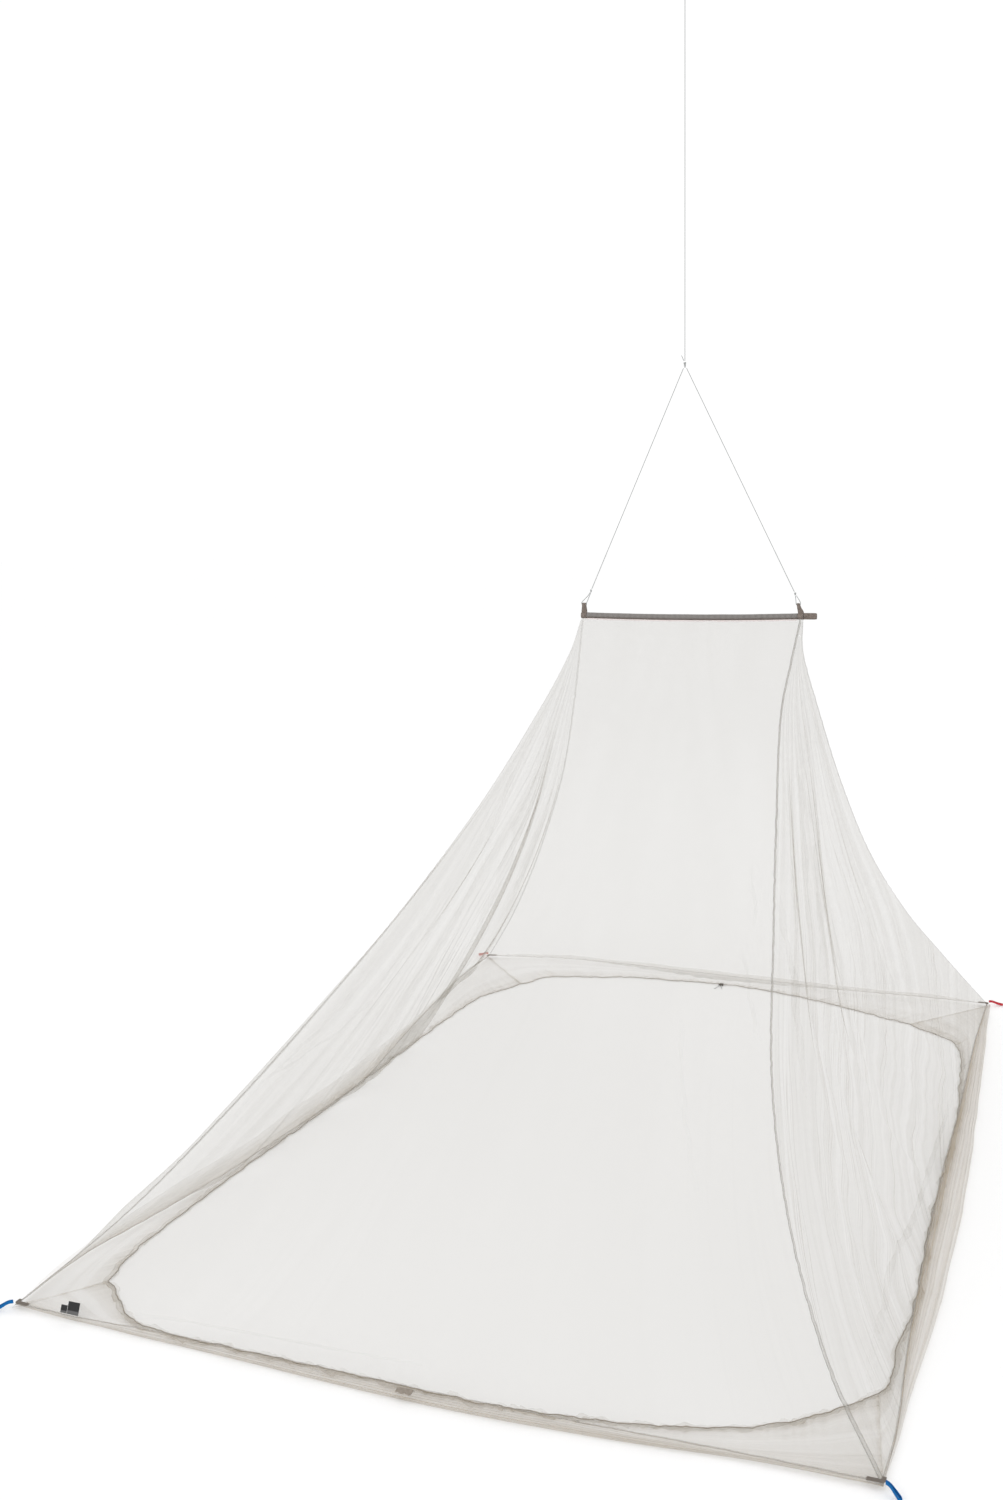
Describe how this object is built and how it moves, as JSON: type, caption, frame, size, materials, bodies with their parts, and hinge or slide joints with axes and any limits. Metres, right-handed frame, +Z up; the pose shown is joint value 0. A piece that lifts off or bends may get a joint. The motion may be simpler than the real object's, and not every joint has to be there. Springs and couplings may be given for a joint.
{
  "type": "mosquito net canopy with spreader bar",
  "caption": "Double bed mosquito net canopy: four sheer walls hang from a short spreader bar on a bridle and cord, with a gathered floor skirt.",
  "frame": {"origin": "top of the hanging loop, where a ceiling hook holds it, 3.16 m above the floor", "axes": "+X along the spreader bar to its end with the loose flap, +Y from the front hem to the back hem, +Z up"},
  "size_m": [2.1049, 2.5047, 3.1596],
  "materials": {
    "net": "sheer fine polyester net",
    "seam": "matt felled net seam",
    "sleeve_cloth": "matt woven grey-brown cloth",
    "bar": "satin rod, hidden in its sleeve",
    "webbing": "matt grey-brown webbing",
    "blue_webbing": "blue webbing with a slight sheen",
    "red_webbing": "red webbing with a slight sheen",
    "cord": "thin braided grey cord",
    "label": "plain black woven label",
    "toggle": "dark moulded cord lock"
  },
  "bodies": {
    "root": {"apex_knot": "cord", "apex_knot_tail": "cord", "bar_sleeve": "sleeve_cloth", "bar_sleeve_end": "webbing", "bar_tab_left": "webbing", "bar_tab_right": "webbing", "bridle_cord_left": "cord", "bridle_cord_right": "cord", "bridle_knot_left": "cord", "bridle_knot_right": "cord", "bridle_loop_left": "cord", "bridle_loop_right": "cord", "corner_loop_back_left": "red_webbing", "corner_loop_back_right": "red_webbing", "corner_loop_front_left": "blue_webbing", "corner_loop_front_right": "blue_webbing", "corner_tab_back_left": "webbing", "corner_tab_back_right": "webbing", "corner_tab_front_left": "webbing", "corner_tab_front_right": "webbing", "drawcord_end_left": "cord", "drawcord_end_right": "cord", "drawcord_toggle": "toggle", "floor_skirt_back": "net", "floor_skirt_front": "net", "floor_skirt_left": "net", "floor_skirt_right": "net", "front_hem_tag": "webbing", "hanging_cord": "cord", "hanging_knot": "cord", "hanging_loop": "cord", "hem_label_large": "label", "hem_label_small": "label", "hem_tape_back": "seam", "hem_tape_front": "seam", "hem_tape_left": "seam", "hem_tape_right": "seam", "net_wall_back": "net", "net_wall_front": "net", "net_wall_left": "net", "net_wall_right": "net", "ridge_seam_back_left": "seam", "ridge_seam_back_right": "seam", "ridge_seam_front_left": "seam", "ridge_seam_front_right": "seam", "rim_drawcord": "seam", "spreader_bar": "bar"}
  },
  "joints": []
}
